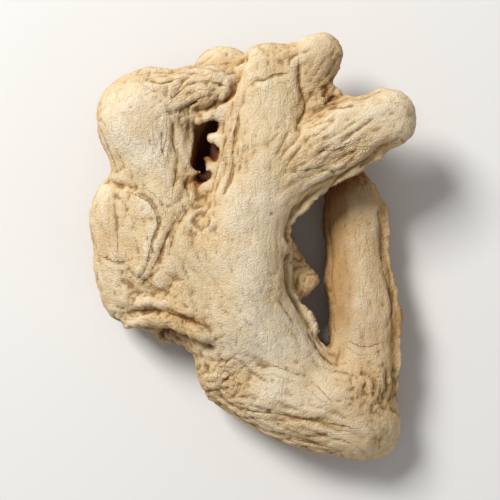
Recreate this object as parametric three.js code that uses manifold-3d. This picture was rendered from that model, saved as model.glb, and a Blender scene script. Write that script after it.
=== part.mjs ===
// A hand of dried ginger: one rhizome whose stem, palm and stubby fingers grew as a single body.
// It lies flat on a table, as picked and dried. Units are millimetres, +Z is up, and +Y runs from the
// foot of the hand to its top. The origin is on the table, under the middle of the hand.
import * as THREE from "three";
import { mergeVertices } from "three/addons/utils/BufferGeometryUtils.js";
import Module from "manifold-3d";

// Overall spread of the skeleton that the fingers grow on.
const HALF_LENGTH = 45.8;
const HALF_WIDTH = 34.5;

// Girth of each finger at its thickest, measured across the hand.
const STEM_GIRTH = 18;
const PALM_GIRTH = 22;
const HEAD_GIRTH = 20;
const BROW_GIRTH = 13;
const BUD_GIRTH = 8;
const GUSSET_GIRTH = 15;
const HORN_GIRTH = 10.6;
const COLLAR_GIRTH = 9;
const ARM_GIRTH = 13.6;
const CHEEK_GIRTH = 14.6;
const KNUCKLE_GIRTH = 18.4;
const SPUR_GIRTH = 6;
const FOOT_GIRTH = 20;
const THUMB_GIRTH = 15;
const SPROUT_GIRTH = 6.6;

// The dried-out cleft between the head and the stem.
const CLEFT_WIDTH = 6;
const CLEFT_BOTTOM = 7; // height of its floor above the table
const CLEFT_LIP = 0.8; // rounding of its edge

const REST_FLAT = 0.4; // depth of the flats worn where the hand touches the table
const CELL = 2; // spacing of the skin's vertices
const SPINE_STEPS = 5; // straight steps between two stations of a spine
const PINCH_FILL = 0.1; // how deep a filled pinch lies in the flesh, as a share of CELL

// Every finger is a spine of stations [across, along, lift, swell]. Across and along are shares of
// HALF_WIDTH and HALF_LENGTH, lift is the clearance under the finger in millimetres, and swell is the
// share of its girth there. Flat is its thickness for its width, and web is the reach of the web of
// skin that joins it to the fingers above it in this list.
const FINGERS = {
  stem: {
    girth: STEM_GIRTH, flat: 0.86, web: 3,
    stations: [
      [0.13, 0.82, 9, 0.69], [0.08, 0.58, 9, 0.84], [0.02, 0.33, 9, 0.9],
      [-0.03, 0.06, 7.5, 0.92], [0.03, -0.21, 5, 0.97], [0.19, -0.48, 1.5, 1],
    ],
  },
  palm: {
    girth: PALM_GIRTH, flat: 0.85, web: 6,
    stations: [[-0.56, 0.15, 3, 0.82], [-0.39, -0.07, 1, 1], [-0.13, -0.29, 1, 0.95]],
  },
  head: {
    girth: HEAD_GIRTH, flat: 0.95, web: 3,
    stations: [[-0.67, 0.6, 0, 1], [-0.57, 0.41, 2, 0.9], [-0.48, 0.21, 3, 0.8]],
  },
  brow: {
    girth: BROW_GIRTH, flat: 0.95, web: 2,
    stations: [[-0.59, 0.7, 5, 1], [-0.39, 0.71, 6.5, 0.92], [-0.24, 0.71, 7.5, 0.85]],
  },
  bud: {
    girth: BUD_GIRTH, flat: 0.9, web: 2,
    stations: [[-0.27, 0.84, 5, 0.95], [-0.15, 0.87, 5, 1]],
  },
  gusset: {
    girth: GUSSET_GIRTH, flat: 0.58, web: 3,
    stations: [[-0.12, 0.76, 5.5, 0.75], [-0.19, 0.55, 4, 1], [-0.22, 0.25, 3, 1]],
  },
  horn: {
    girth: HORN_GIRTH, flat: 0.95, web: 2.5,
    stations: [[0.2, 0.68, 9, 0.95], [0.32, 0.79, 10.5, 0.93], [0.41, 0.88, 10.5, 1]],
  },
  arm: {
    girth: ARM_GIRTH, flat: 0.9, web: 3,
    stations: [
      [0.16, 0.31, 7.5, 1.08], [0.42, 0.44, 10, 1.02], [0.65, 0.54, 11.5, 1], [0.81, 0.59, 12, 0.94],
    ],
  },
  collar: {
    girth: COLLAR_GIRTH, flat: 0.9, web: 2,
    stations: [[0.2, 0.6, 9, 1], [0.42, 0.66, 9.5, 1]],
  },
  cheek: {
    girth: CHEEK_GIRTH, flat: 0.85, web: 3,
    stations: [[-0.77, 0.21, 4, 0.96], [-0.74, 0, 3, 1]],
  },
  knuckle: {
    girth: KNUCKLE_GIRTH, flat: 0.85, web: 3,
    stations: [[-0.68, -0.15, 0, 1], [-0.42, -0.21, 0, 0.98]],
  },
  spur: {
    girth: SPUR_GIRTH, flat: 0.9, web: 1.5,
    stations: [[-0.56, -0.3, 3, 1], [-0.52, -0.41, 3, 1]],
  },
  foot: {
    girth: FOOT_GIRTH, flat: 0.85, web: 3,
    stations: [
      [-0.09, -0.54, 1, 0.88], [0.16, -0.63, 0, 1], [0.42, -0.7, 0, 1],
      [0.66, -0.77, 0, 0.93], [0.75, -0.87, 1, 0.6],
    ],
  },
  thumb: {
    girth: THUMB_GIRTH, flat: 0.85, web: 1.5,
    stations: [
      [0.71, -0.6, 2, 1], [0.7, -0.32, 0.5, 0.97], [0.67, -0.05, 0, 0.96],
      [0.64, 0.19, 0, 0.88], [0.61, 0.32, 0.5, 0.66],
    ],
  },
  sprout: {
    girth: SPROUT_GIRTH, flat: 1, web: 1,
    stations: [[0.18, 0.01, 7, 1], [0.29, -0.08, 6.5, 1], [0.34, -0.14, 6.5, 0.85]],
  },
};

// The cleft is a tall blade of air: stations [across, along, share of its width].
const CLEFT = [[-0.17, 0.62, 0.5], [-0.25, 0.5, 0.9], [-0.28, 0.42, 1], [-0.3, 0.32, 0.6]];

// A spine's samples, { at, reach }: points along a smooth curve, with the radius at each.
function spine(points, radii) {
  const path = new THREE.CatmullRomCurve3(points);
  const reach = new THREE.CatmullRomCurve3(radii.map((r) => new THREE.Vector3(r, 0, 0)));
  const steps = (points.length - 1) * SPINE_STEPS;
  return Array.from({ length: steps + 1 }, (_, i) => ({
    at: path.getPoint(i / steps),
    reach: reach.getPoint(i / steps).x,
  }));
}

function fingerSpine({ girth, flat, stations }) {
  const radii = stations.map(([, , , swell]) => (girth / 2) * swell);
  const points = stations.map(
    ([across, along, lift], i) =>
      new THREE.Vector3(across * HALF_WIDTH, along * HALF_LENGTH, lift + radii[i] * flat),
  );
  return spine(points, radii);
}

// Distance from (x, y, z) to the skin of a limb, negative inside it. Heights are divided by flat,
// which makes its round section an ellipse that is flat times as tall as it is wide.
function limbDistance(samples, flat, x, y, z) {
  let nearest = Infinity;
  for (let i = 1; i < samples.length; i++) {
    const { at: a, reach: ra } = samples[i - 1];
    const { at: b, reach: rb } = samples[i];
    const [ux, uy, uz] = [b.x - a.x, b.y - a.y, (b.z - a.z) / flat];
    const [px, py, pz] = [x - a.x, y - a.y, (z - a.z) / flat];
    const along = (px * ux + py * uy + pz * uz) / (ux * ux + uy * uy + uz * uz);
    const t = Math.min(1, Math.max(0, along));
    const gap = Math.hypot(px - t * ux, py - t * uy, pz - t * uz) - (ra + t * (rb - ra));
    nearest = Math.min(nearest, gap);
  }
  return nearest;
}

// The lesser of two distances, rounded over where they are within reach of each other.
function blend(a, b, reach) {
  const h = Math.max(reach - Math.abs(a - b), 0) / reach;
  return Math.min(a, b) - (h * h * reach) / 4;
}

const limbs = Object.values(FINGERS).map((finger) => ({ ...finger, samples: fingerSpine(finger) }));
const tops = limbs.flatMap(({ flat, samples }) => samples.map(({ at, reach }) => at.z + reach * flat));
const highest = Math.max(...tops);
const cleftFlat = (2 * (highest - CLEFT_BOTTOM)) / CLEFT_WIDTH; // tall enough to open at the top
const cleft = spine(
  CLEFT.map(([across, along]) => new THREE.Vector3(across * HALF_WIDTH, along * HALF_LENGTH, highest)),
  CLEFT.map(([, , share]) => (CLEFT_WIDTH / 2) * share),
);

// Distance from (x, y, z) to the skin of the whole hand, negative inside.
function handDistance(x, y, z) {
  let flesh = Infinity;
  for (const { flat, web, samples } of limbs) {
    flesh = blend(flesh, limbDistance(samples, flat, x, y, z), web);
  }
  return -blend(-flesh, limbDistance(cleft, cleftFlat, x, y, z), CLEFT_LIP);
}

const AXES = [[1, 0, 0], [0, 1, 0], [0, 0, 1]];
const CORNERS = [0, 1, 2, 3, 4, 5, 6, 7].map((n) => [n & 1, (n >> 1) & 1, n >> 2]);
const plus = (a, b) => a.map((n, axis) => n + b[axis]);

// The twelve edges of a cell: from each corner, a step along each axis that stays in the cell.
const EDGES = CORNERS.flatMap((corner) =>
  AXES.filter((_, axis) => corner[axis] === 0).map((step) => [corner, plus(corner, step)]),
);

// Every place [i, j, k] of a grid, from the given first row on each axis.
function* places([columns, rows, layers], first) {
  for (let k = first; k < layers; k++) {
    for (let j = first; j < rows; j++) {
      for (let i = first; i < columns; i++) yield [i, j, k];
    }
  }
}

// Where two opposite corners of a grid square are in the flesh and the other two aren't, the skin would
// touch itself, so the flesh takes in whichever of those two is nearer to it.
function closePinches(value, cells, keyOf) {
  let pinched = true;
  while (pinched) {
    pinched = false;
    for (const place of places(cells, 0)) {
      for (const [axis, u] of AXES.entries()) {
        const v = AXES[(axis + 1) % 3];
        const ends = [keyOf(place), keyOf(plus(plus(place, u), v))];
        const sides = [keyOf(plus(place, u)), keyOf(plus(place, v))];
        const outside = [ends, sides].filter((pair) => pair.every((key) => value[key] >= 0));
        const inside = [ends, sides].filter((pair) => pair.every((key) => value[key] < 0));
        if (outside.length !== 1 || inside.length !== 1) continue;
        const [a, b] = outside[0];
        value[value[a] < value[b] ? a : b] = -PINCH_FILL * CELL;
        pinched = true;
      }
    }
  }
}

// The skin where a distance is zero, as a closed mesh: one vertex in each cell that the skin crosses,
// at the mean of its crossings with the cell's edges, and one four-sided face round each edge of the
// grid that it crosses.
function skinOf(distance, box) {
  const count = box.getSize(new THREE.Vector3()).toArray().map((side) => Math.ceil(side / CELL) + 1);
  const cells = count.map((n) => n - 1);
  const keyOf = ([i, j, k]) => (k * count[1] + j) * count[0] + i;
  const pointAt = (place) => place.map((n, axis) => box.min.getComponent(axis) + n * CELL);
  const value = new Float64Array(count[0] * count[1] * count[2]);
  for (const place of places(count, 0)) value[keyOf(place)] = distance(...pointAt(place));
  closePinches(value, cells, keyOf);

  const vertexOf = new Map();
  const positions = [];
  for (const place of places(cells, 0)) {
    const crossings = [];
    for (const [a, b] of EDGES) {
      const [va, vb] = [value[keyOf(plus(place, a))], value[keyOf(plus(place, b))]];
      if (va < 0 === vb < 0) continue;
      const share = va / (va - vb);
      crossings.push(a.map((n, axis) => n + share * (b[axis] - n)));
    }
    if (crossings.length === 0) continue;
    const middle = crossings.reduce(plus).map((sum) => sum / crossings.length);
    vertexOf.set(keyOf(place), vertexOf.size);
    positions.push(...pointAt(plus(place, middle)));
  }

  const faces = [];
  for (const place of places(cells, 1)) {
    const inside = value[keyOf(place)] < 0;
    for (const [axis, step] of AXES.entries()) {
      if (inside === value[keyOf(plus(place, step))] < 0) continue;
      const [u, v] = [AXES[(axis + 1) % 3], AXES[(axis + 2) % 3]];
      const vertex = (s, t) => vertexOf.get(keyOf(place.map((n, i) => n - s * u[i] - t * v[i])));
      const ring = [vertex(0, 0), vertex(1, 0), vertex(1, 1), vertex(0, 1)];
      if (!inside) ring.reverse();
      faces.push(ring[0], ring[1], ring[2], ring[0], ring[2], ring[3]);
    }
  }
  return new THREE.BufferGeometry()
    .setAttribute("position", new THREE.Float32BufferAttribute(positions, 3))
    .setIndex(faces);
}

const wasm = await Module();
wasm.setup();

function solidFrom(geometry) {
  const bare = geometry.clone();
  bare.deleteAttribute("normal");
  bare.deleteAttribute("uv");
  const merged = mergeVertices(bare);
  return new wasm.Manifold(
    new wasm.Mesh({
      numProp: 3,
      vertProperties: merged.attributes.position.array,
      triVerts: new Uint32Array(merged.index.array),
    }),
  );
}

function geometryFrom(solid) {
  const { vertProperties, triVerts } = solid.getMesh();
  return new THREE.BufferGeometry()
    .setAttribute("position", new THREE.BufferAttribute(vertProperties, 3))
    .setIndex(new THREE.BufferAttribute(triVerts, 1));
}

// Room round the skeleton for the fingers' flesh.
const room = new THREE.Box3();
for (const { samples } of limbs) {
  for (const { at, reach } of samples) {
    const margin = new THREE.Vector3().setScalar(reach + 3 * CELL);
    room.expandByPoint(at.clone().add(margin)).expandByPoint(at.clone().sub(margin));
  }
}

// The table planes off the lowest REST_FLAT of the hand, so that it stands on flats, not on points.
const table = new THREE.BoxGeometry(4 * HALF_WIDTH, 4 * HALF_LENGTH, HALF_WIDTH);
table.translate(0, 0, REST_FLAT - HALF_WIDTH / 2);
const skin = geometryFrom(solidFrom(skinOf(handDistance, room)).subtract(solidFrom(table)));

// The fingers stick out by different amounts, so the finished hand is brought over the origin.
skin.computeBoundingBox();
const middle = skin.boundingBox.getCenter(new THREE.Vector3());
skin.translate(-middle.x, -middle.y, -skin.boundingBox.min.z);
skin.computeVertexNormals();

const driedSkin = new THREE.MeshStandardMaterial({ color: "#d8c09a", roughness: 0.92, metalness: 0 });
const root = new THREE.Mesh(skin, driedSkin);
root.name = "ginger_root";

const hand = new THREE.Group();
hand.add(root);

export default hand;
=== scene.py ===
"""A hand of dried ginger: one shrivelled rhizome with stubby fingers, lying on a pale table."""

import bpy
import numpy as np
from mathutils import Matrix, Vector


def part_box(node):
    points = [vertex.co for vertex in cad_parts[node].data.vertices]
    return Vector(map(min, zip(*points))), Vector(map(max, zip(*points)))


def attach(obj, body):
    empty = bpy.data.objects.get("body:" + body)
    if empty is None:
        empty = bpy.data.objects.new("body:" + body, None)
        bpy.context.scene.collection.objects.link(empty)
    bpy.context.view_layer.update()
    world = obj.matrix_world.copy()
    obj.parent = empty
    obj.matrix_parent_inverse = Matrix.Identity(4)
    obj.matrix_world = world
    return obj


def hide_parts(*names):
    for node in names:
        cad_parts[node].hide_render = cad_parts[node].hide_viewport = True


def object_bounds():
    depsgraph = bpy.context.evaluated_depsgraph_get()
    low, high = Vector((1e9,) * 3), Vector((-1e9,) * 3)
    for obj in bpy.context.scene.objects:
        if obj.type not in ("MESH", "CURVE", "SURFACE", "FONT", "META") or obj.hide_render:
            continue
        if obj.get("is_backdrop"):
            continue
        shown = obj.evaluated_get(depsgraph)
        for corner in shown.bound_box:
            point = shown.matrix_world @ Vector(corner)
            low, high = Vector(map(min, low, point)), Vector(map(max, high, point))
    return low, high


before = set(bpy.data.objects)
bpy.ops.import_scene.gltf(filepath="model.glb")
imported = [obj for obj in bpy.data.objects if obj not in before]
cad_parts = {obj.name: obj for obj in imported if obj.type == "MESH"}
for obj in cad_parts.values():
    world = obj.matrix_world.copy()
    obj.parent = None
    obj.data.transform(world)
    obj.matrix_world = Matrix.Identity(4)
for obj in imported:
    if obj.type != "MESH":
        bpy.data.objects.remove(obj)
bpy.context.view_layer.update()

# ---------------------------------------------------------------------------------------------------
# The flesh: one rhizome that grew as a stem, a palm and stubby fingers, then shrank as it dried in the
# sun. Its bulk comes from the CAD solid, rounded off and given an even skin of small faces.

MM = 0.001
FIRST_MESH = 0.5  # mm between the points of the skin while the large forms are made
LAST_MESH = 0.43  # and while the wrinkles are made
hand_low, hand_high = (np.array(corner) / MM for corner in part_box("ginger_root"))
hand_middle = (hand_low + hand_high) / 2
hand_reach = (hand_high - hand_low) / 2


def on_hand(places):
    """Places in mm, from shares of the hand's box: across and along from -1 to 1, and up from 0 to 1."""
    shares = np.array(places, float)
    spot = hand_middle[:shares.shape[1]] + shares * hand_reach[:shares.shape[1]]
    if shares.shape[1] == 3:
        spot[:, 2] = hand_low[2] + shares[:, 2] * 2 * hand_reach[2]
    return spot


def gap_to(points, across, along):
    """Distance in mm on the plan from each point to a place across and along."""
    return np.linalg.norm(points[:, :2] - on_hand([(across, along)]), axis=1)


def patch(points, across, along, reach, strength=1):
    """A soft round patch on the plan: strength times e to the minus (distance / reach) squared."""
    return strength * np.exp(-(gap_to(points, across, along) / reach) ** 2)


def mesh_from(name, points, faces):
    """A mesh from points in mm and a list of faces."""
    mesh = bpy.data.meshes.new(name)
    mesh.from_pydata((points * MM).tolist(), [], faces)
    mesh.update()
    return mesh


def worked(mesh, kind, **settings):
    """The mesh after one modifier, as a new mesh."""
    blank = bpy.data.objects.new("blank", mesh)
    bpy.context.scene.collection.objects.link(blank)
    modifier = blank.modifiers.new(kind, kind)
    for name, value in settings.items():
        setattr(modifier, name, value)
    graph = bpy.context.evaluated_depsgraph_get()
    result = bpy.data.meshes.new_from_object(blank.evaluated_get(graph))
    bpy.data.objects.remove(blank)
    return result


def read_skin(mesh):
    """The mesh's points in mm, the corners of its triangles and the ends of its edges, as whole arrays."""
    points = np.empty(len(mesh.vertices) * 3)
    mesh.vertices.foreach_get("co", points)
    mesh.calc_loop_triangles()
    triangles = np.empty(len(mesh.loop_triangles) * 3, int)
    mesh.loop_triangles.foreach_get("vertices", triangles)
    edges = np.empty(len(mesh.edges) * 2, int)
    mesh.edges.foreach_get("vertices", edges)
    return points.reshape(-1, 3) / MM, triangles.reshape(-1, 3), edges.reshape(-1, 2)


def write_skin(mesh, points):
    """Puts points in mm back into the mesh they were read from."""
    mesh.vertices.foreach_set("co", (points * MM).ravel())
    mesh.update()


def facing(points, triangles):
    """Each point's outward normal: the sum of its triangles' cross products, at length one."""
    a, b, c = (points[triangles[:, k]] for k in range(3))
    cross = np.cross(b - a, c - a)
    total = np.zeros_like(points)
    for axis in range(3):
        for k in range(3):
            total[:, axis] += np.bincount(triangles[:, k], cross[:, axis], len(points))
    return total / np.maximum(np.linalg.norm(total, axis=1, keepdims=True), 1e-9)


def relaxed(values, edges, rounds):
    """Values moved to the mean of their neighbours' on the skin, so many times over."""
    columns = values.reshape(len(values), -1)
    neighbours = np.bincount(edges.ravel(), minlength=len(values))[:, None]
    for _ in range(rounds):
        total = np.zeros_like(columns)
        for axis in range(columns.shape[1]):
            for near, far in (edges.T, edges.T[::-1]):
                total[:, axis] += np.bincount(near, columns[far, axis], len(values))
        columns = total / neighbours
    return columns.reshape(values.shape)


def smooth_line(stations, steps=6):
    """A curve through the stations, each stretch a Catmull-Rom cubic cut into that many steps."""
    ends = np.vstack([2 * stations[0] - stations[1], stations, 2 * stations[-1] - stations[-2]])
    t = np.linspace(0, 1, steps, endpoint=False)[:, None]
    stretches = [
        0.5 * (2 * b + (c - a) * t + (2 * a - 5 * b + 4 * c - d) * t**2 + (3 * b - a - 3 * c + d) * t**3)
        for a, b, c, d in zip(ends[:-3], ends[1:-2], ends[2:-1], ends[3:])
    ]
    return np.vstack(stretches + [stations[-1:]])


def laid(stations, body, reach=1.0, depth=0.3):
    """Places across and along, set that depth in mm below the body's highest point within reach."""
    flat = on_hand(stations)
    near = np.linalg.norm(body[None, :, :2] - flat[:, None], axis=2) < reach
    return np.column_stack([flat, np.where(near, body[:, 2], 0).max(axis=1) - depth])


def tapered_strand(stations, start, end, body, sides=8):
    """A closed strand of flesh: rings of points round a smooth line, whose radius in mm runs from start
    to end, times the root of 1 - (2t - 1)^8, which draws its two ends in. A strand under 2 mm is uneven
    too. Places given without a height lie on the body."""
    line = smooth_line(on_hand(stations) if len(stations[0]) == 3 else laid(stations, body))
    way = np.gradient(line, axis=0)
    way /= np.linalg.norm(way, axis=1, keepdims=True)
    level = np.cross(way, [0, 0, 1])
    level /= np.linalg.norm(level, axis=1, keepdims=True)
    over = np.cross(level, way)
    t = np.linspace(0, 1, len(line))
    uneven = 1 + 0.2 * np.sin(9 * t + 5 * start) * (start < 2)
    radius = (start + (end - start) * t) * uneven * np.sqrt(np.clip(1 - (2 * t - 1) ** 8, 0.02, 1))
    angle = np.linspace(0, 2 * np.pi, sides, endpoint=False)
    spoke = np.cos(angle)[None, :, None] * level[:, None] + np.sin(angle)[None, :, None] * over[:, None]
    points = (line[:, None] + radius[:, None, None] * spoke).reshape(-1, 3)
    ring, side = np.meshgrid(np.arange(len(line) - 1), np.arange(sides), indexing="ij")
    here, beside = ring * sides + side, ring * sides + (side + 1) % sides
    walls = np.stack([here, beside, beside + sides, here + sides], axis=-1).reshape(-1, 4)
    caps = [list(range(sides))[::-1], list(range(len(points) - sides, len(points)))]
    return points, walls.tolist() + caps


# Torn strands of flesh that still bridge the cleft: radius in mm at each end, and the line of each.
STRANDS = [
    (1.6, 0.45, [(-0.1, 0.53, 0.72), (-0.2, 0.51, 0.7), (-0.3, 0.53, 0.66)]),
    (1.4, 0.4, [(-0.15, 0.36, 0.7), (-0.23, 0.385, 0.68), (-0.3, 0.44, 0.62)]),
    (0.9, 0.5, [(-0.2, 0.34, 0.66), (-0.27, 0.3, 0.68), (-0.35, 0.285, 0.66)]),
    (0.65, 0.4, [(-0.18, 0.4, 0.72), (-0.26, 0.375, 0.7), (-0.35, 0.36, 0.7)]),
    (0.8, 0.4, [(-0.42, 0.34, 0.68), (-0.35, 0.36, 0.68), (-0.3, 0.34, 0.62)]),
    (0.7, 0.5, [(-0.13, 0.67, 0.68), (-0.22, 0.62, 0.7), (-0.36, 0.58, 0.74)]),
    (0.8, 0.5, [(0.3, 0.74, 0.74), (0.42, 0.71, 0.68), (0.56, 0.66, 0.74)]),
    (0.7, 0.4, [(0.36, 0.8, 0.72), (0.45, 0.76, 0.66), (0.6, 0.7, 0.74)]),
    (0.8, 0.5, [(0.26, 0.7, 0.78), (0.38, 0.66, 0.74), (0.5, 0.6, 0.8)]),
    (0.6, 0.45, [(-0.385, 0.6), (-0.375, 0.52), (-0.38, 0.42), (-0.36, 0.34)]),
    (0.5, 0.3, [(-0.42, 0.55), (-0.43, 0.47), (-0.405, 0.38), (-0.44, 0.3)]),
    (0.65, 0.4, [(-0.43, 0.58), (-0.36, 0.605), (-0.27, 0.64), (-0.16, 0.67)]),
    (0.6, 0.4, [(-0.165, 0.64), (-0.195, 0.53), (-0.185, 0.42), (-0.23, 0.31)]),
    (0.45, 0.3, [(-0.12, 0.56), (-0.135, 0.48), (-0.15, 0.38), (-0.18, 0.29)]),
    (0.5, 0.3, [(-0.25, 0.31), (-0.31, 0.26), (-0.4, 0.19)]),
    (0.5, 0.3, [(-0.33, 0.31), (-0.39, 0.24), (-0.45, 0.19), (-0.5, 0.1)]),
    (0.45, 0.3, [(-0.2, 0.27), (-0.26, 0.24), (-0.33, 0.19)]),
    (0.45, 0.3, [(-0.41, 0.31), (-0.35, 0.3), (-0.27, 0.27)]),
    (0.5, 0.35, [(0.33, 0.74), (0.4, 0.69), (0.46, 0.62)]),
    (0.5, 0.35, [(0.44, 0.78), (0.5, 0.73), (0.55, 0.68)]),
    (0.45, 0.3, [(0.25, 0.035), (0.21, 0.03), (0.17, 0.05)]),
    (0.4, 0.3, [(0.24, 0.0), (0.205, 0.005), (0.18, 0.02)]),
]
# The sprout, a bud that never grew out, is a fat strand of the same kind beside the stem. Over it the
# stem's flank is drawn in: across, along, reach in mm and how far in mm, in full from 11 mm up.
SPROUT = (3.8, 3.3, [(0.1, 0.09, 0.36), (0.2, -0.02, 0.38), (0.3, -0.12, 0.4), (0.39, -0.185, 0.42)])
STEM_BEND = (0.3, -0.14, 4.5, 2.2)

cad_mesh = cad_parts["ginger_root"].data
loose, corners, _ = read_skin(cad_mesh)
merged, number = np.unique(loose.round(4), axis=0, return_inverse=True)
flesh = mesh_from("flesh", merged, number.ravel()[corners].tolist())
flesh = worked(flesh, "SUBSURF", levels=1, render_levels=1)
body, body_faces, _ = read_skin(flesh)
body[:, 0] -= patch(body, *STEM_BEND) * np.clip((body[:, 2] - 5) / 6, 0, 1)
parts, faces, count = [body], body_faces.tolist(), len(body)
for start, end, stations in [SPROUT] + STRANDS:
    points, strand_faces = tapered_strand(stations, start, end, body)
    parts.append(points)
    faces += [[corner + count for corner in face] for face in strand_faces]
    count += len(points)
flesh = mesh_from("flesh", np.vstack(parts), faces)
flesh = worked(flesh, "REMESH", mode="VOXEL", voxel_size=FIRST_MESH * MM)
skin, triangles, edges = read_skin(flesh)
skin = relaxed(skin, edges, 2)

# ---------------------------------------------------------------------------------------------------
# The growth: every finger swelled unevenly about its own line, so the flesh is lumpy, and the dried
# skin on it wrinkles along that line.

# Each finger's girth in mm, and its line from root to tip: shares of the hand across, along and up.
FINGERS = {
    "stem": (15, [(0.19, -0.48, 0.4), (0.02, -0.21, 0.54), (-0.04, 0.06, 0.63), (0.01, 0.33, 0.69),
                  (0.07, 0.58, 0.67), (0.12, 0.83, 0.62)]),
    "palm": (20, [(-0.14, -0.29, 0.45), (-0.41, -0.07, 0.45), (-0.58, 0.15, 0.45)]),
    "head": (19, [(-0.5, 0.21, 0.5), (-0.6, 0.41, 0.45), (-0.69, 0.6, 0.42)]),
    "brow": (12, [(-0.61, 0.7, 0.48), (-0.41, 0.72, 0.5), (-0.25, 0.72, 0.53)]),
    "bud": (8, [(-0.4, 0.78, 0.4), (-0.16, 0.88, 0.37)]),
    "horn": (10, [(0.19, 0.68, 0.6), (0.32, 0.8, 0.67), (0.42, 0.89, 0.68)]),
    "arm": (14, [(0.15, 0.31, 0.6), (0.42, 0.44, 0.7), (0.65, 0.54, 0.75), (0.82, 0.59, 0.76)]),
    "cheek": (14, [(-0.74, -0.1, 0.4), (-0.78, 0.21, 0.44)]),
    "knuckle": (18, [(-0.3, -0.24, 0.35), (-0.7, -0.15, 0.34)]),
    "spur": (6, [(-0.57, -0.25, 0.25), (-0.53, -0.42, 0.24)]),
    "foot": (19, [(-0.12, -0.52, 0.38), (0.15, -0.63, 0.37), (0.42, -0.7, 0.37), (0.66, -0.78, 0.34),
                  (0.75, -0.9, 0.26)]),
    "thumb": (14, [(0.7, -0.65, 0.35), (0.7, -0.32, 0.29), (0.67, -0.05, 0.27), (0.64, 0.19, 0.26),
                   (0.61, 0.36, 0.25)]),
    "sprout": (6.5, [(0.17, -0.03, 0.38), (0.3, -0.115, 0.4), (0.39, -0.18, 0.42)]),
}
SLOPE_COUNT = 4096
slopes = np.random.default_rng(7).normal(size=(SLOPE_COUNT, 3))
slopes /= np.linalg.norm(slopes, axis=1, keepdims=True)


def slope_at(corner):
    """The random slope of each corner of a grid: its three whole numbers, each times a large prime, are
    mixed bit by bit to pick one."""
    key = corner[:, 0] * 73856093 ^ corner[:, 1] * 19349663 ^ corner[:, 2] * 83492791
    return slopes[key % SLOPE_COUNT]


def lumps(points, size, seed):
    """A smooth random field, about -1 to 1, in lumps of that size in mm. Each corner of a cubic grid has
    a random slope, and between corners their rises are blended by the S curve 6t^5 - 15t^4 + 10t^3."""
    scaled = points / size + seed * np.array([17.13, 5.71, 11.37])
    corner = np.floor(scaled).astype(np.int64)
    inner = scaled - corner
    ease = inner**3 * (inner * (inner * 6 - 15) + 10)
    total = np.zeros(len(points))
    for step in np.ndindex(2, 2, 2):
        rise = np.einsum("ij,ij->i", slope_at(corner + step), inner - step)
        total += rise * np.prod(np.where(step, ease, 1 - ease), axis=1)
    return total * 1.7


def folds(points, size, seed, layers=3):
    """Sharp valleys between rounded folds, 0 in a valley to 1 on a fold: 1 - (1 - 1.9 |lumps|)^2, in
    layers that each have half the size and half the height of the last."""
    total, share = np.zeros(len(points)), 0
    for layer in range(layers):
        rise = np.minimum(1.9 * np.abs(lumps(points, size * 0.5**layer, seed + layer)), 1)
        total += 0.5**layer * (1 - (1 - rise) ** 2)
        share += 0.5**layer
    return total / share


def ramp(values, start, end):
    """0 up to start, 1 from end, and the S curve 3t^2 - 2t^3 between."""
    t = np.clip((values - start) / (end - start), 0, 1)
    return t * t * (3 - 2 * t)


def line_length(line):
    """The sum of a line's straight steps."""
    return np.linalg.norm(np.diff(line, axis=0), axis=1).sum()


def along_line(points, line):
    """For each point, the nearest place on a line of straight steps: the distance from it, the length
    of line before it, and the offset from it."""
    nearest = np.full(len(points), np.inf)
    length = np.zeros(len(points))
    offset = np.zeros_like(points)
    before = 0.0
    for a, b in zip(line[:-1], line[1:]):
        step = b - a
        span = np.linalg.norm(step)
        t = np.clip((points - a) @ step / span**2, 0, 1)
        gap = points - a - t[:, None] * step
        distance = np.linalg.norm(gap, axis=1)
        closer = distance < nearest
        nearest = np.where(closer, distance, nearest)
        length = np.where(closer, before + t * span, length)
        offset = np.where(closer[:, None], gap, offset)
        before += span
    return nearest, length, offset


finger_lines = {name: smooth_line(on_hand(stations)) for name, (_, stations) in FINGERS.items()}
finger_ways = np.array([line[-1] - line[0] for line in finger_lines.values()])
finger_ways /= np.linalg.norm(finger_ways, axis=1, keepdims=True)


def finger_coordinates(points, stretch):
    """For each finger, its share of each point and the point drawn out of it: the offset from the
    finger's line, plus the length along the line shortened by stretch. A field of these is drawn out
    along the finger."""
    closeness, drawn = [], []
    for (name, (girth, _)), way in zip(FINGERS.items(), finger_ways):
        distance, length, offset = along_line(points, finger_lines[name])
        closeness.append(np.exp(-4 * distance / (girth / 2)))
        drawn.append(offset + way * (length / stretch)[:, None])
    closeness = np.array(closeness)
    return closeness / closeness.sum(axis=0), drawn


def along_fingers(points, field, stretch, size, seed):
    """A field drawn out along the fingers by stretch, and mixed where fingers meet."""
    shares, drawn = finger_coordinates(points, stretch)
    total = np.zeros(len(points))
    for number, (share, place) in enumerate(zip(shares, drawn)):
        near = share > 0.02
        total[near] += share[near] * field(place[near], size, seed + 3 * number)
    return total / np.sqrt((shares**2).sum(axis=0))


SWELLINGS = ((15, 1.0), (7, 0.42), (3.5, 0.12))  # mm across and mm high
out = facing(skin, triangles)
for number, (size, height) in enumerate(SWELLINGS):
    skin = skin + out * (height * lumps(skin, size, 20 + number))[:, None]

# ---------------------------------------------------------------------------------------------------
# The marks of drying: fissures, folds, lips and rims that the skin drew itself into. Each is a line on
# the upper side, and what the skin does beside it.

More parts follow.
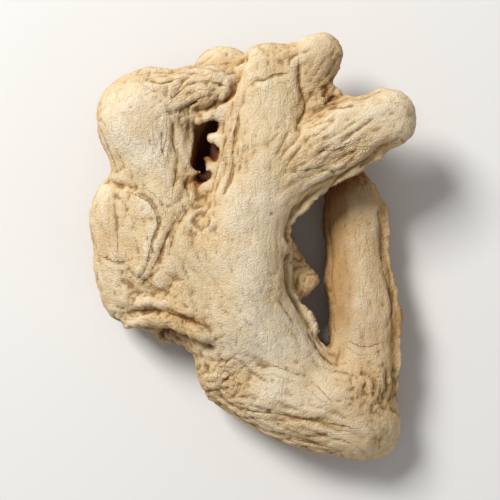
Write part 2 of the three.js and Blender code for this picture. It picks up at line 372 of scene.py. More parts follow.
# kind, height or depth in mm, width in mm, and the line in shares of the hand across and along. The deep
# ones are made first.
DEEP_MARKS = [
    ("groove", 2.6, 0.55, [(-0.05, 0.9), (-0.07, 0.84), (-0.1, 0.79), (-0.13, 0.71), (-0.19, 0.66)]),
    ("groove", 1.5, 0.6, [(-0.16, 0.68), (-0.22, 0.67), (-0.3, 0.64), (-0.37, 0.63)]),
    ("groove", 1.6, 0.9, [(-0.19, 0.62), (-0.28, 0.53), (-0.3, 0.45), (-0.33, 0.34)]),
    ("groove", 1.3, 1.4, [(0.38, 0.69), (0.5, 0.7), (0.6, 0.74)]),
    ("groove", 1.2, 0.7, [(-0.94, 0.34), (-0.8, 0.3), (-0.68, 0.28)]),
    ("ridge", 1.7, 0.8, [(-0.82, -0.33), (-0.6, -0.3), (-0.42, -0.33), (-0.22, -0.4)]),
    ("groove", 3.2, 0.9, [(-0.62, -0.39), (-0.5, -0.37), (-0.36, -0.4), (-0.22, -0.46)]),
]
FINE_MARKS = [
    ("groove", 0.4, 0.6, [(-0.47, 0.6), (-0.48, 0.5), (-0.455, 0.4), (-0.48, 0.27)]),
    ("groove", 0.2, 0.6, [(-0.54, 0.56), (-0.55, 0.48), (-0.53, 0.42)]),
    ("groove", 0.35, 0.6, [(-0.03, 0.73), (0.02, 0.765), (0.08, 0.765), (0.13, 0.79), (0.22, 0.8)]),
    ("groove", 0.5, 0.6, [(0.28, 0.85), (0.29, 0.74), (0.32, 0.65), (0.27, 0.56)]),
    ("plate", 0.38, 0.45, [(-0.7, -0.12), (-0.64, -0.06), (-0.61, 0.04), (-0.57, 0.13), (-0.62, 0.22),
                          (-0.72, 0.26)]),
    ("groove", 0.15, 0.6, [(-0.84, 0.24), (-0.83, 0.1), (-0.82, -0.02)]),
    ("groove", 0.15, 0.6, [(-0.94, -0.02), (-0.82, -0.05), (-0.72, -0.03)]),
    ("groove", 0.6, 0.6, [(-0.45, 0.16), (-0.51, 0.07), (-0.56, -0.02), (-0.62, -0.1)]),
    ("groove", 0.3, 0.5, [(-0.38, 0.2), (-0.46, 0.1), (-0.5, 0.0)]),
    ("ridge", 0.7, 0.6, [(-0.75, -0.24), (-0.6, -0.23), (-0.45, -0.26), (-0.34, -0.29)]),
    ("groove", 0.35, 0.5, [(-0.78, -0.28), (-0.6, -0.265), (-0.44, -0.295), (-0.3, -0.33)]),
    ("groove", 0.15, 0.6, [(0.0, -0.52), (0.13, -0.52), (0.25, -0.55), (0.38, -0.6), (0.46, -0.66)]),
    ("groove", 0.45, 0.6, [(-0.25, -0.64), (-0.08, -0.72), (0.15, -0.74), (0.6, -0.8)]),
    ("groove", 0.3, 0.5, [(-0.2, -0.72), (0.1, -0.83), (0.5, -0.9)]),
    ("groove", 0.3, 0.6, [(0.36, -0.36), (0.42, -0.47), (0.48, -0.51)]),
    ("groove", 0.45, 0.5, [(-0.08, 0.62), (-0.11, 0.48), (-0.12, 0.36), (-0.18, 0.24)]),
    ("groove", 0.4, 0.5, [(-0.64, 0.78), (-0.55, 0.76), (-0.46, 0.78)]),
    ("groove", 0.5, 0.5, [(-0.5, 0.68), (-0.38, 0.75), (-0.28, 0.77), (-0.16, 0.75)]),
    ("groove", 0.3, 0.5, [(-0.45, 0.62), (-0.34, 0.68), (-0.24, 0.71)]),
    ("groove", 0.15, 0.5, [(0.38, 0.44), (0.55, 0.46), (0.7, 0.52)]),
    ("groove", 0.2, 0.5, [(0.3, 0.36), (0.38, 0.37), (0.5, 0.4), (0.62, 0.45)]),
    ("groove", 0.1, 0.6, [(0.62, -0.42), (0.7, -0.44), (0.8, -0.42)]),
]


def line_side(points, line):
    """Distance across to a flat line, on the plan: negative on its right as it runs. And the length of
    line before the nearest place, and the line's whole length."""
    flat = points[:, :2]
    distance, length, offset = along_line(flat, line)
    way = np.gradient(line, axis=0)
    whole = line_length(line)
    place = np.clip((length / whole * (len(line) - 1)).astype(int), 0, len(line) - 1)
    left = way[place, 0] * offset[:, 1] - way[place, 1] * offset[:, 0]
    return np.where(left < 0, -distance, distance), length, whole


def mark_relief(points, kind, size, width, stations):
    """The skin's rise at one mark. A groove or ridge is a bell curve across its line; a plate is a step
    up on the line's left that sinks away again over ten widths, with a groove at its foot."""
    line = smooth_line(on_hand(stations))
    wobble = 0.5 * width * lumps(points, 2.5, 40) + 0.25 * width * lumps(points, 1.1, 41)
    across, length, whole = line_side(points, line)
    across = across + wobble
    ends = ramp(np.minimum(length, whole - length), -0.01, 2.5 * width)
    beyond = ramp(np.abs(across), 20 * width, 5 * width) * ends
    bell = np.exp(-(across / width) ** 2)
    if kind == "groove":
        return -size * bell * beyond
    if kind == "ridge":
        return size * bell * beyond
    step = ramp(across, -0.4 * width, 0.6 * width) * np.exp(-np.maximum(across, 0) / (8 * width))
    return size * (step - 0.6 * np.exp(-((across + 0.8 * width) / width) ** 2)) * beyond


def on_top(out, low):
    """1 where the skin faces up, and 0 where it faces down so far that its normal's height is low."""
    return ramp(out[:, 2], low, 0.3)


out = facing(skin, triangles)
relief = sum(mark_relief(skin, *mark) for mark in DEEP_MARKS)
skin = skin + out * (relief * on_top(out, -0.15))[:, None]

# Rims: dried skin that stands out as a thin lip along a flank, with a furrow inside it. Each has how far
# it stands out in mm, how far the flank below is drawn in, and its line across, along and up.
RIMS = [
    (1.0, 3.0, [(0.86, 0.46, 0.74), (0.7, 0.4, 0.72), (0.5, 0.29, 0.68), (0.33, 0.19, 0.64),
                (0.22, 0.05, 0.6), (0.22, -0.07, 0.58), (0.28, -0.19, 0.55), (0.37, -0.3, 0.5),
                (0.47, -0.38, 0.44)]),
    (0.9, 1.3, [(0.84, 0.28, 0.3), (0.9, 0.1, 0.34), (0.93, -0.1, 0.36), (0.94, -0.3, 0.38),
                (0.97, -0.5, 0.42), (0.97, -0.7, 0.42)]),
]


def onto_flank(line, points, out):
    """The line moved to the top of the flank beside it: each place goes to the mean of the skin near it
    that has begun to turn down, the nearer the heavier."""
    flank = points[np.abs(out[:, 2] - 0.4) < 0.25]
    weight = np.exp(-(np.linalg.norm(flank[None] - line[:, None], axis=2) / 1.3) ** 2) + 1e-12
    return (weight @ flank) / weight.sum(axis=1, keepdims=True)


sprout_line = smooth_line(on_hand(SPROUT[2]))
for stand, draw, stations in RIMS:
    out = facing(skin, triangles)
    level = relaxed(out * [1, 1, 0], edges, 6)
    level /= np.maximum(np.linalg.norm(level, axis=1, keepdims=True), 0.2)
    line = onto_flank(smooth_line(on_hand(stations)), skin, out)
    line[1:-1] = (line[:-2] + 2 * line[1:-1] + line[2:]) / 4
    distance, length, offset = along_line(skin, line)
    whole = line_length(line)
    ends = ramp(np.minimum(length, whole - length), -0.5, 4)
    uneven = 1 + 0.5 * lumps(skin, 1.8, 55)
    lip = np.exp(-(distance / 0.65) ** 2) * uneven
    below = ramp(-offset[:, 2], 0.2, 1.5) * ramp(out[:, 2], 0.9, 0.2)
    off_sprout = ramp(along_line(skin, sprout_line)[0], 4.0, 5.2)
    tuck = below * np.exp(-(distance / 4.5) ** 2) * off_sprout
    inside = ramp((offset * level).sum(axis=1), 0.2, -0.8)
    dip = inside * np.exp(-((distance - 1.8) / 0.8) ** 2)
    sideways = level * (0.8 * stand * lip - draw * tuck)[:, None]
    furrow = out * (0.5 * stand * dip)[:, None]
    skin = skin + (sideways - furrow) * ends[:, None]
    skin[:, 2] += 0.9 * stand * lip * ends

write_skin(flesh, skin)
flesh = worked(flesh, "REMESH", mode="VOXEL", voxel_size=LAST_MESH * MM)
skin, triangles, edges = read_skin(flesh)
skin = relaxed(skin, edges, 1)
out = facing(skin, triangles)
relief = sum(mark_relief(skin, *mark) for mark in FINE_MARKS)
skin = skin + out * (relief * on_top(out, -0.15))[:, None]

# ---------------------------------------------------------------------------------------------------
# The wrinkles: close and rough where the flesh shrank most, hardly any where the skin stayed taut.

# Rough patches of the upper side: across, along, reach in mm and strength.
ROUGH = [
    (-0.4, 0.72, 7, 0.9), (-0.55, 0.8, 5, 0.5), (-0.13, 0.45, 4.5, 0.9), (0.46, 0.68, 6, 1.0),
    (0.6, 0.43, 7, 0.8), (0.34, 0.48, 6, 0.6), (-0.75, 0.15, 5, 0.35), (-0.64, -0.2, 8, 0.65),
    (-0.5, -0.33, 7, 1.0), (-0.2, -0.63, 8, 0.9), (0.24, -0.84, 8, 0.7), (0.75, -0.65, 7, 0.8),
    (0.92, -0.27, 3, 0.6), (0.92, -0.1, 3, 0.6), (0.16, 0.9, 5, 0.5), (0.55, 0.89, 4, 0.6),
    (0.16, -0.16, 4, 0.5), (-0.42, 0.1, 6, 0.5), (-0.36, 0.33, 4, 0.8),
]
# Height in mm of each kind of wrinkle: on taut skin, what rough skin adds to it, and what a flank adds.
LONG_WRINKLES = (0.14, 0.5, 0.26)
SHORT_WRINKLES = (0.1, 0.28, 0.27)
FINE_WRINKLES = (0.03, 0.16, 0)
FOLD_MIDDLE = 0.6  # about the mean of folds, taken off so that the flesh keeps its bulk


def height_of(taut, added_rough, added_flank):
    """Height in mm of one kind of wrinkle at every point."""
    return taut + added_rough * rough + added_flank * on_flank


def single_folds(points, size, seed):
    """Folds of one size only."""
    return folds(points, size, seed, 1)


out = facing(skin, triangles)
upper = on_top(out, -0.3)
rough = np.zeros(len(skin))
for place in ROUGH:
    rough = np.maximum(rough, patch(skin, *place))
rough = rough * upper + 0.55 * (1 - upper)
rough = np.clip(rough + 0.28 * lumps(skin, 7, 30) + 0.05, 0, 1)

# On the flanks the wrinkles are closer, but not on the round ends, where the skin faces along the finger.
smooth_out = relaxed(out, edges, 6)
end_on = (finger_coordinates(skin, 1)[0] * np.abs(finger_ways @ smooth_out.T)).sum(axis=0)
on_flank = ramp(-np.abs(smooth_out[:, 2]), -0.8, -0.35) * ramp(-end_on, -0.7, -0.3)
wrinkles = along_fingers(skin, folds, 3.5, 4.2, 60) - FOLD_MIDDLE
skin = skin + out * (wrinkles * height_of(*LONG_WRINKLES))[:, None]
out = facing(skin, triangles)
wrinkles = along_fingers(skin, single_folds, 4, 2.6, 200) - FOLD_MIDDLE
skin = skin + out * (wrinkles * height_of(*SHORT_WRINKLES))[:, None]

# Patches of close parallel folds: across, along, reach in mm, the way they run in degrees, and strength.
PLEATS = [
    (-0.22, -0.6, 7, 32, 0.9), (0.12, -0.8, 8, -12, 0.7), (0.5, -0.84, 6, -20, 0.6),
    (-0.38, 0.71, 6, 38, 1.0), (-0.5, 0.46, 3.5, 78, 0.7), (0.45, 0.4, 7, 36, 1.0), (0.7, 0.48, 5, 34, 0.8),
    (0.24, 0.47, 4.5, 55, 0.8), (-0.35, 0.24, 5, 50, 0.8), (-0.12, 0.46, 4, 82, 0.7),
    (-0.6, -0.3, 7, -8, 0.8), (0.4, -0.4, 4, -50, 0.8), (0.48, 0.66, 5, 20, 1.0), (0.92, -0.3, 4, 85, 0.7),
    (0.24, 0.86, 5, 20, 0.4), (-0.78, 0.3, 5, -10, 0.5),
]
PLEAT_WIDTH = 2.4  # mm
PLEAT_HEIGHT = 0.6  # mm
out = facing(skin, triangles)
pleated, weight = np.zeros(len(skin)), np.full(len(skin), 1e-6)
for number, (across, along, reach, angle, strength) in enumerate(PLEATS):
    gap = gap_to(skin, across, along)
    near = gap < 2.5 * reach
    share = strength * np.exp(-(gap[near] / reach) ** 2)
    way = np.array([np.cos(np.radians(angle)), np.sin(np.radians(angle)), 0])
    bent = skin[near] + 0.7 * lumps(skin[near], 4, 300)[:, None]
    drawn = bent - (bent @ way)[:, None] * way * 0.78
    pleated[near] += share * single_folds(drawn, PLEAT_WIDTH, 310 + 3 * number)
    weight[near] += share
pleats = np.minimum(weight, 1) * (pleated / weight - FOLD_MIDDLE) * upper
skin = skin + out * (PLEAT_HEIGHT * pleats)[:, None]

out = facing(skin, triangles)
wrinkles = single_folds(skin + 0.6 * lumps(skin, 3, 33)[:, None], 2.2, 90) - FOLD_MIDDLE
skin = skin + out * (wrinkles * height_of(*FINE_WRINKLES))[:, None]


def nearest_seed(points, size, seed):
    """Distance in mm to the nearest of a scatter of seeds, one at random in each cube of that size."""
    scaled = points / size + seed
    corner = np.floor(scaled).astype(np.int64)
    nearest = np.full(len(points), 9.0)
    for step in np.ndindex(3, 3, 3):
        cell = corner + step - 1
        seed_gap = cell + 0.5 + 0.45 * slope_at(cell) - scaled
        nearest = np.minimum(nearest, np.linalg.norm(seed_gap, axis=1))
    return nearest * size


# Warts: low domes on the knuckle, and close grains at the end of the foot. Across, along, reach, space
# between them and height, the last three in mm.
WARTS = [(-0.62, -0.14, 6.5, 4.4, 0.75), (0.74, -0.62, 5, 2.3, 0.6)]
for across, along, reach, space, height in WARTS:
    out = facing(skin, triangles)
    near = patch(skin, across, along, reach) * upper
    dome = np.sqrt(np.clip(1 - (nearest_seed(skin, space, 5) / (0.58 * space)) ** 2, 0, 1))
    skin = skin + out * (height * near * (dome - 0.4))[:, None]

# Pits: pinholes where rootlets broke off, about so far apart and so deep in mm.
PIT_SPACE = 6.5
PIT_DEPTH = 0.25
pits = 1 - ramp(nearest_seed(skin, PIT_SPACE, 9), 0.2, 0.6)
skin = skin - out * (PIT_DEPTH * pits)[:, None]

# Eyes: round scars where a bud or a shoot fell off, each a raised ring round a low dome. Across, along,
# radius in mm, and 1 on the upper side or -1 on the under side.
EYES = [(-0.305, 0.135, 2.4, 1), (-0.2, 0.3, 2.6, -1), (0.4, -0.7, 3.2, -1), (-0.55, -0.2, 3.4, -1),
        (0.66, 0.0, 2.4, -1)]
for across, along, radius, over in EYES:
    gap = gap_to(skin, across, along) + 0.6 * lumps(skin, 2, 71)
    ring = np.exp(-((gap - radius) / 0.38) ** 2) * (0.9 + 0.7 * lumps(skin, 1.6, 72))
    ring += 0.6 * np.exp(-((gap - 0.25 * radius) / 0.4) ** 2)
    moat = np.exp(-((gap - 0.62 * radius) / 0.5) ** 2)
    skin = skin + out * ((0.42 * ring - 0.14 * moat) * ramp(over * out[:, 2], 0.1, 0.5))[:, None]

# The sprout is ringed by folds about 1.7 mm apart, and ends in a round scar.
RING_SPACE = 1.7
distance, length, _ = along_line(skin, sprout_line)
whole = line_length(sprout_line)
on_sprout = ramp(distance, 4.6, 3.8) * ramp(skin[:, 0], *on_hand([(0.2, 0), (0.25, 0)])[:, 0])
out = facing(skin, triangles)
rings = np.abs(np.sin(np.pi * (length + 1.6 * lumps(skin, 4, 81)) / RING_SPACE)) ** 0.6 - 0.7
rings *= 0.6 + 0.8 * lumps(skin, 2.5, 82)
tip = ramp(length, whole - 0.6, whole - 0.1)
hollow = ramp(distance, 2.0, 1.2) * tip
skin = skin + out * ((0.5 * rings * (1 - tip) - 0.5 * hollow) * on_sprout)[:, None]
skin[:, 2] = np.maximum(skin[:, 2], 0)
write_skin(flesh, skin)

# ---------------------------------------------------------------------------------------------------
# The dried skin: chalky cream on the crowns that rub, orange-beige where it is rough, and brown in the
# creases, partly painted shade. Flanks, hollows, low places and the cleft get painted shade, and the tops
# in part a painted highlight.
out = facing(skin, triangles)

# Three ways that the fine grain runs, in degrees from the across axis on the plan, and how much of each
# there is at every point, from the way the nearest finger lies.
GRAINS = {"grain_stem": 95, "grain_arm": 33, "grain_foot": 160}
finger_shares, _ = finger_coordinates(skin, 1)
plan_ways = finger_ways[:, :2] / np.linalg.norm(finger_ways[:, :2], axis=1, keepdims=True)
grain_ways = np.array([(np.cos(np.radians(a)), np.sin(np.radians(a))) for a in GRAINS.values()])
likeness = np.abs(grain_ways @ plan_ways.T) ** 8
grain_shares = (likeness / likeness.sum(axis=0)) @ finger_shares


def hollowness(rounds):
    """How far below its surroundings each point lies, in mm: the way out from it to the skin relaxed
    that many times."""
    return np.einsum("ij,ij->i", relaxed(skin, edges, rounds) - skin, out)


def give(mesh, name, values):
    """Stores one value for each point of the mesh, for its material to read."""
    layer = mesh.attributes.new(name, "FLOAT", "POINT")
    layer.data.foreach_set("value", np.clip(values, 0, 1).astype(np.float32))


ginger = bpy.data.objects.new("ginger_hand", flesh)
bpy.context.scene.collection.objects.link(ginger)
flesh.shade_smooth()
turned_down = ramp(-relaxed(out, edges, 8)[:, 2], -0.75, 0.35)
# Painted shade: brown in the fine creases, less on skin that turns down.
give(flesh, "crease", ramp(hollowness(4), 0.01, 0.12) * (1 - 0.65 * turned_down))
give(flesh, "crown", ramp(-hollowness(25), -0.12, 0.45) * (1 - 0.5 * rough) * (1 - 0.7 * on_sprout))
# Partly painted shade: the hollows are tinted a darker olive beige.
give(flesh, "hollow", ramp(hollowness(40), 0.0, 0.7))

# How far the flesh within about 4 mm stands higher than each point: a height map on cells of 1 mm,
# smoothed by its own neighbours. Points that lie below higher flesh get painted shade in russet.
MAP_MARGIN = 12
cell = np.floor(skin[:, :2] - hand_low[:2] + MAP_MARGIN).astype(int)
height_map = np.zeros(cell.max(axis=0) + MAP_MARGIN + 1)
np.maximum.at(height_map, (cell[:, 0], cell[:, 1]), skin[:, 2])
for _ in range(36):
    beside = sum(np.roll(height_map, turn, axis) for turn in (1, -1) for axis in (0, 1))
    height_map = (height_map + beside) / 5
above = height_map[cell[:, 0], cell[:, 1]] - skin[:, 2]
give(flesh, "occlusion_shade", ramp(relaxed(above, edges, 4), 0.3, 5.5))

# Painted shade: patches tinted umber as if shaded, across, along, reach in mm and strength.
# The thumb gets painted shade too, the more the lower it lies, and on its side towards the stem.
SHADE_PATCHES = [
    (0.44, 0.84, 5, 0.45), (0.72, -0.66, 6, 0.45), (0.28, 0.36, 4, 0.3), (0.76, -0.4, 5, 0.3),
    (0.95, -0.3, 3, 0.5), (-0.45, -0.38, 5, 0.4), (-0.9, 0.05, 2.5, 0.3),
]
shade_patches = sum(patch(skin, *place) for place in SHADE_PATCHES)
on_thumb = finger_shares[list(FINGERS).index("thumb")]
beside_stem = ramp(skin[:, 1], *on_hand([(0, -0.5), (0, -0.15)])[:, 1])
inward = ramp(-relaxed(out, edges, 6)[:, 0], 0.0, 0.7) * beside_stem
give(flesh, "shaded", shade_patches + on_thumb * (0.6 * ramp(-skin[:, 2], -15.5, -9) + inward))
# Painted shade: the flanks that turn down, and the sprout in part, are tinted orange-brown and umber.
give(flesh, "flank", np.maximum(turned_down, 0.5 * on_sprout))

# The cleft: painted shade on its deep flesh, and on the low flesh along this line on the plan.
cleft_line = smooth_line(on_hand([(-0.14, 0.66), (-0.25, 0.5), (-0.3, 0.38), (-0.32, 0.28)]))
cleft_gap, _, _ = along_line(skin[:, :2], cleft_line)
sunk = ramp(-skin[:, 2] / hand_high[2], -0.72, -0.6)
give(flesh, "cleft", ramp(hollowness(120), 1.9, 3.0) + sunk * np.exp(-(cleft_gap / 3.4) ** 4))
for name, share in zip(GRAINS, grain_shares):
    give(flesh, name, share)
give(flesh, "rough", rough)

# How far each point lies to one side or the other of the nearest fine mark: 0.5 on it, and 0 and 1 at
# 2 mm from it. Beyond the mark's ends, on the under side and at a shallow mark it counts as further off,
# and a ridge has no crack.
crack, nearest = np.full(len(skin), 2.0), np.full(len(skin), 2.0)
for kind, size, _, stations in FINE_MARKS:
    across, length, whole = line_side(skin, smooth_line(on_hand(stations)))
    off = np.abs(across) + 0.35 * (1 - ramp(np.minimum(length, whole - length), 0, 2)) + 2 * (1 - upper)
    off = off + 9 * (kind == "ridge") + 0.34 * ramp(size, 0.5, 0.1)
    crack = np.where(off < nearest, np.sign(across) * off, crack)
    nearest = np.minimum(off, nearest)
give(flesh, "crack", 0.5 + crack / 4)

# Torn places, where flesh shows through the skin: across, along, and reach in mm.
TORN = [(0.52, 0.7, 5.5), (-0.33, 0.3, 4), (-0.45, -0.38, 6), (0.2, 0.03, 2.5), (0.62, 0.42, 3),
        (-0.12, 0.7, 3)]
torn = sum(patch(skin, *place) for place in TORN)
give(flesh, "torn", torn * ramp(hollowness(30), -0.25, 0.35))

# Pale places, partly rubbed chalky skin, partly painted light: across, along, reach in mm and strength.
RUBBED_AND_LIT = [
    (-0.7, 0.54, 8, 1.0), (0.14, -0.4, 7, 1.0), (0.0, -0.12, 7, 0.6), (0.24, -0.6, 8, 0.8),
    (-0.1, -0.46, 7, 0.6), (0.78, 0.6, 4, 0.3), (0.02, 0.2, 6, 0.6), (0.55, 0.5, 5, 0.6),
    (-0.42, 0.74, 5, 0.65), (-0.72, -0.2, 5, 0.35), (0.2, -0.47, 5, 0.5),
]
rubbed_and_lit = sum(patch(skin, *place) for place in RUBBED_AND_LIT)
# Skin that faces up is paled as well: partly powder, partly a painted highlight.
level_top = ramp(relaxed(out, edges, 25)[:, 2], 0.7, 0.98) * (1 - 0.8 * relaxed(rough, edges, 10))
give(flesh, "top", (0.4 * level_top + rubbed_and_lit) * upper * (1 - on_sprout))

dried_skin = bpy.data.materials.new("dried_skin")
dried_skin.use_nodes = True
nodes, links = dried_skin.node_tree.nodes, dried_skin.node_tree.links
shader = nodes["Principled BSDF"]


def attribute(name):
    """One of the values that the skin's points carry."""
    node = nodes.new("ShaderNodeAttribute")
    node.attribute_name = name
    return node.outputs["Fac"]


def ramped(value, low, high):
    """A value spread out: 0 below low, 1 above high, and the S curve between."""
    spread = nodes.new("ShaderNodeMapRange")
    spread.interpolation_type = "SMOOTHSTEP"
    spread.inputs["From Min"].default_value = low
    spread.inputs["From Max"].default_value = high
    links.new(value, spread.inputs["Value"])
    return spread.outputs["Result"]


def speckle(scale, detail, low, high):
    """A cloudy pattern in space, from 0 below low to 1 above high. Scale is in lumps to the metre."""
    place = nodes.new("ShaderNodeTexCoord")
    noise = nodes.new("ShaderNodeTexNoise")
    noise.inputs["Scale"].default_value = scale
    noise.inputs["Detail"].default_value = detail
    noise.inputs["Roughness"].default_value = 0.6
    links.new(place.outputs["Object"], noise.inputs["Vector"])
    return ramped(noise.outputs["Fac"], low, high)


def both(kind, a, b, clamp=True):
    """Two values joined by a sum, product or other simple step."""
    node = nodes.new("ShaderNodeMath")
    node.operation = kind
    node.use_clamp = clamp
    for socket, value in zip(node.inputs, (a, b)):
        if isinstance(value, (int, float)):
            socket.default_value = value
        else:
            links.new(value, socket)
    return node.outputs["Value"]


def tinted(base, tint, amount):
    """The base colour turned towards the tint by an amount from 0 to 1."""
    node = nodes.new("ShaderNodeMix")
    node.data_type = "RGBA"
    for name, value in (("A_Color", base), ("B_Color", tint), ("Factor_Float", amount)):
        socket = next(socket for socket in node.inputs if socket.identifier == name)
        if isinstance(value, tuple):
            socket.default_value = (*value, 1)
        else:
            links.new(value, socket)
    return next(socket for socket in node.outputs if socket.identifier == "Result_Color")


def drawn_out(angle, across, along):
    """Places drawn out along one way on the plan: a pattern on them has lumps across mm wide and along
    mm long."""
    place = nodes.new("ShaderNodeTexCoord")
    turn = nodes.new("ShaderNodeMapping")
    turn.vector_type = "TEXTURE"
    turn.inputs["Rotation"].default_value = (0, 0, np.radians(angle))
    turn.inputs["Scale"].default_value = (along * MM, across * MM, across * MM)
    links.new(place.outputs["Object"], turn.inputs["Vector"])
    return turn.outputs["Vector"]


def streaks(angle, across, along):
    """Fine creases drawn out along one way on the plan, 1 in a crease: they part folds that are across mm
    wide and along mm long."""
    noise = nodes.new("ShaderNodeTexNoise")
    noise.noise_type = "RIDGED_MULTIFRACTAL"
    noise.normalize = True
    noise.inputs["Scale"].default_value = 1
    noise.inputs["Detail"].default_value = 3
    noise.inputs["Distortion"].default_value = 0.35
    links.new(drawn_out(angle, across, along), noise.inputs["Vector"])
    return noise.outputs["Fac"]


def creases(angle, across, along, width):
    """Thin creases drawn out along one way on the plan, 1 on a crease: where a smooth pattern, stretched
    to lumps across mm by along mm, passes through its middle value."""
    noise = nodes.new("ShaderNodeTexNoise")
    noise.inputs["Scale"].default_value = 1
    noise.inputs["Detail"].default_value = 1
    noise.inputs["Distortion"].default_value = 0.6
    links.new(drawn_out(angle, across, along), noise.inputs["Vector"])
    away = both("ABSOLUTE", both("SUBTRACT", noise.outputs["Fac"], 0.5, clamp=False), 0)
    return ramped(away, width, 0)


# Colours of the skin, palest first, of the flesh that shows in its tears, and of the painted shade in
# its creases, flanks and cleft.
CHALK = (0.88, 0.765, 0.585)
POWDER_AND_HIGHLIGHT = (0.88, 0.79, 0.62)
CREAM = (0.72, 0.51, 0.26)
GREEN_CREAM = (0.60, 0.51, 0.29)
PINK_CREAM = (0.72, 0.51, 0.34)
ORANGE_BEIGE = (0.68, 0.435, 0.185)
OLIVE_BEIGE = (0.45, 0.31, 0.105)
UMBER = (0.41, 0.21, 0.058)
RUSSET = (0.33, 0.145, 0.05)
CREASE_BROWN = (0.21, 0.095, 0.028)
CLEFT_SHADE_BROWN = (0.12, 0.04, 0.016)

wrinkled, lines = 0, 0
for name, angle in GRAINS.items():
    wrinkled = both("ADD", both("MULTIPLY", streaks(angle, 1.2, 4.5), attribute(name)), wrinkled)
    lines = both("ADD", both("MULTIPLY", creases(angle, 1.8, 9, 0.07), attribute(name)), lines)
lines = both("MULTIPLY", lines, speckle(140, 2, 0.35, 0.65))
network = both("MULTIPLY", creases(60, 1.8, 2.4, 0.09), attribute("rough"))
network = both("MULTIPLY", network, speckle(230, 2, 0.38, 0.6))
fine_lines = both("MAXIMUM", both("MULTIPLY", lines, 0.5), network)
off_crack = both("ABSOLUTE", both("SUBTRACT", attribute("crack"), 0.5, clamp=False), 0)
off_crack = both("ADD", off_crack, both("MULTIPLY", speckle(600, 4, 0.25, 0.85), 0.11))
cracks = both("MULTIPLY", ramped(off_crack, 0.115, 0.03), speckle(170, 2, 0.3, 0.55))

colour = tinted(CREAM, GREEN_CREAM, both("MULTIPLY", speckle(75, 3, 0.4, 0.75), 0.5))
colour = tinted(colour, PINK_CREAM, both("MULTIPLY", speckle(60, 3, 0.5, 0.8), 0.5))
colour = tinted(colour, CHALK, both("MULTIPLY", attribute("crown"), speckle(260, 5, 0.25, 0.62)))
# Partly powder, partly painted highlight on the tops.
colour = tinted(colour, POWDER_AND_HIGHLIGHT, both("MULTIPLY", attribute("top"), speckle(170, 5, 0.1, 0.8)))
colour = tinted(colour, ORANGE_BEIGE, both("MULTIPLY", attribute("rough"), speckle(120, 4, 0.2, 0.9)))
# Olive beige in the hollows, partly painted shade.
colour = tinted(colour, OLIVE_BEIGE, both("MULTIPLY", attribute("hollow"), speckle(90, 3, 0.1, 0.8)))
colour = tinted(colour, CHALK, both("MULTIPLY", speckle(1300, 4, 0.5, 0.68), 0.35))
colour = tinted(colour, UMBER, both("MULTIPLY", speckle(1100, 4, 0.52, 0.75), 0.25))
# Painted shade on the flanks.
colour = tinted(colour, ORANGE_BEIGE, both("MULTIPLY", attribute("flank"), 0.65))
colour = tinted(colour, UMBER, both("MULTIPLY", attribute("flank"), speckle(140, 4, 0.1, 1.1)))
# Painted shade in umber.
colour = tinted(colour, UMBER, both("MULTIPLY", attribute("shaded"), 0.75))
# Painted shade where higher flesh stands close by.
colour = tinted(colour, RUSSET, both("MULTIPLY", attribute("occlusion_shade"), 0.9))
colour = tinted(colour, CREASE_BROWN, both("MULTIPLY", ramped(wrinkled, 0.55, 0.95), 0.25))
colour = tinted(colour, CREASE_BROWN, both("MULTIPLY", fine_lines, 0.2))
colour = tinted(colour, RUSSET, both("MULTIPLY", attribute("torn"), speckle(350, 3, 0.1, 0.9)))
colour = tinted(colour, CREASE_BROWN, both("MULTIPLY", cracks, 0.6))
# Painted shade in the fine creases.
colour = tinted(colour, CREASE_BROWN, both("MULTIPLY", attribute("crease"), 0.68))
colour = tinted(colour, CREASE_BROWN, both("MULTIPLY", speckle(900, 2, 0.68, 0.75), 0.35))
# Painted shade in the cleft: russet at its lip, near black deep in it.
colour = tinted(colour, RUSSET, ramped(attribute("cleft"), 0, 0.45))
colour = tinted(colour, CLEFT_SHADE_BROWN, ramped(attribute("cleft"), 0.45, 1.0))
links.new(colour, shader.inputs["Base Color"])
shader.inputs["Roughness"].default_value = 0.92
shader.inputs["Specular IOR Level"].default_value = 0.25

# The bump: chalky grain, less the creases, which are shallower where the skin is taut.
chalky = speckle(2600, 5, 0.25, 0.75)
grain = nodes.new("ShaderNodeBump")
grain.inputs["Strength"].default_value = 1
grain.inputs["Distance"].default_value = 0.0005
taut = both("ADD", both("MULTIPLY", attribute("rough"), 0.7), 0.3)
height = both("SUBTRACT", both("MULTIPLY", chalky, 0.3), both("MULTIPLY", wrinkled, taut), clamp=False)
height = both("SUBTRACT", height, both("MULTIPLY", fine_lines, 0.35), clamp=False)
height = both("SUBTRACT", height, both("MULTIPLY", cracks, 0.6), clamp=False)
links.new(height, grain.inputs["Height"])
links.new(grain.outputs["Normal"], shader.inputs["Normal"])

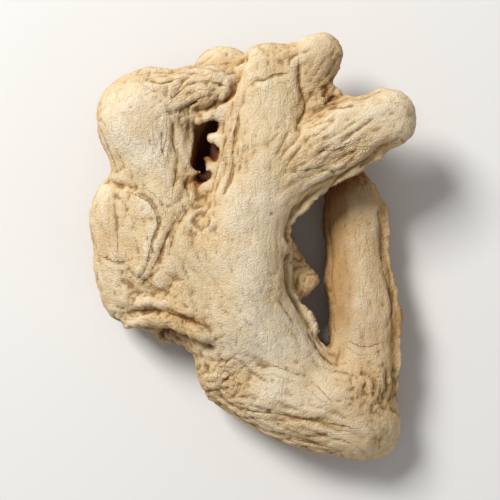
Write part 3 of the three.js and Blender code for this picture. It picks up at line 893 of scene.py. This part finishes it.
flesh.materials.clear()
flesh.materials.append(dried_skin)
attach(ginger, "root")
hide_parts("ginger_root")

# ---------------------------------------------------------------------------------------------------
# The table, the light and the camera.
TABLE_HALF = 1500  # mm
table_corners = TABLE_HALF * np.array([(-1.0, -1, 0), (1, -1, 0), (1, 1, 0), (-1, 1, 0)])
table = bpy.data.objects.new("table", mesh_from("table", table_corners, [(0, 1, 2, 3)]))
bpy.context.scene.collection.objects.link(table)
paper = bpy.data.materials.new("table")
paper.use_nodes = True
paper.node_tree.nodes["Principled BSDF"].inputs["Base Color"].default_value = (0.8, 0.8, 0.795, 1)
paper.node_tree.nodes["Principled BSDF"].inputs["Roughness"].default_value = 0.8
table.data.materials.append(paper)
table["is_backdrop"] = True

world = bpy.data.worlds.new("daylight")
world.use_nodes = True
world.node_tree.nodes["Background"].inputs["Color"].default_value = (1, 0.985, 0.96, 1)
world.node_tree.nodes["Background"].inputs["Strength"].default_value = 0.26
bpy.context.scene.world = world
bpy.context.scene.view_settings.view_transform = "Standard"

low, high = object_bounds()
centre = (low + high) / 2


def soft_light(name, place, size, watts, tint):
    """A square lamp at that place, turned towards the middle of the hand."""
    lamp = bpy.data.lights.new(name, "AREA")
    lamp.size = size
    lamp.energy = watts
    lamp.color = tint
    stand = bpy.data.objects.new(name, lamp)
    stand.location = place
    stand.rotation_euler = (centre - Vector(place)).to_track_quat("-Z", "Y").to_euler()
    bpy.context.scene.collection.objects.link(stand)


soft_light("window", place=(-0.4, 0.42, 0.55), size=0.28, watts=7.35, tint=(1, 0.98, 0.94))
soft_light("card", place=(0.5, -0.42, 0.25), size=0.4, watts=0.6, tint=(1, 0.96, 0.9))

# The camera looks straight down, from where the hand's length takes up this share of the view's height.
FILL = 0.86
camera = bpy.data.cameras.new("camera")
camera.lens = 85
eye = bpy.data.objects.new("camera", camera)
distance = (high.y - low.y) / FILL * camera.lens / camera.sensor_width + high.z / 2
eye.location = (centre.x, centre.y, distance)
bpy.context.scene.collection.objects.link(eye)
bpy.context.scene.camera = eye

low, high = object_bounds()
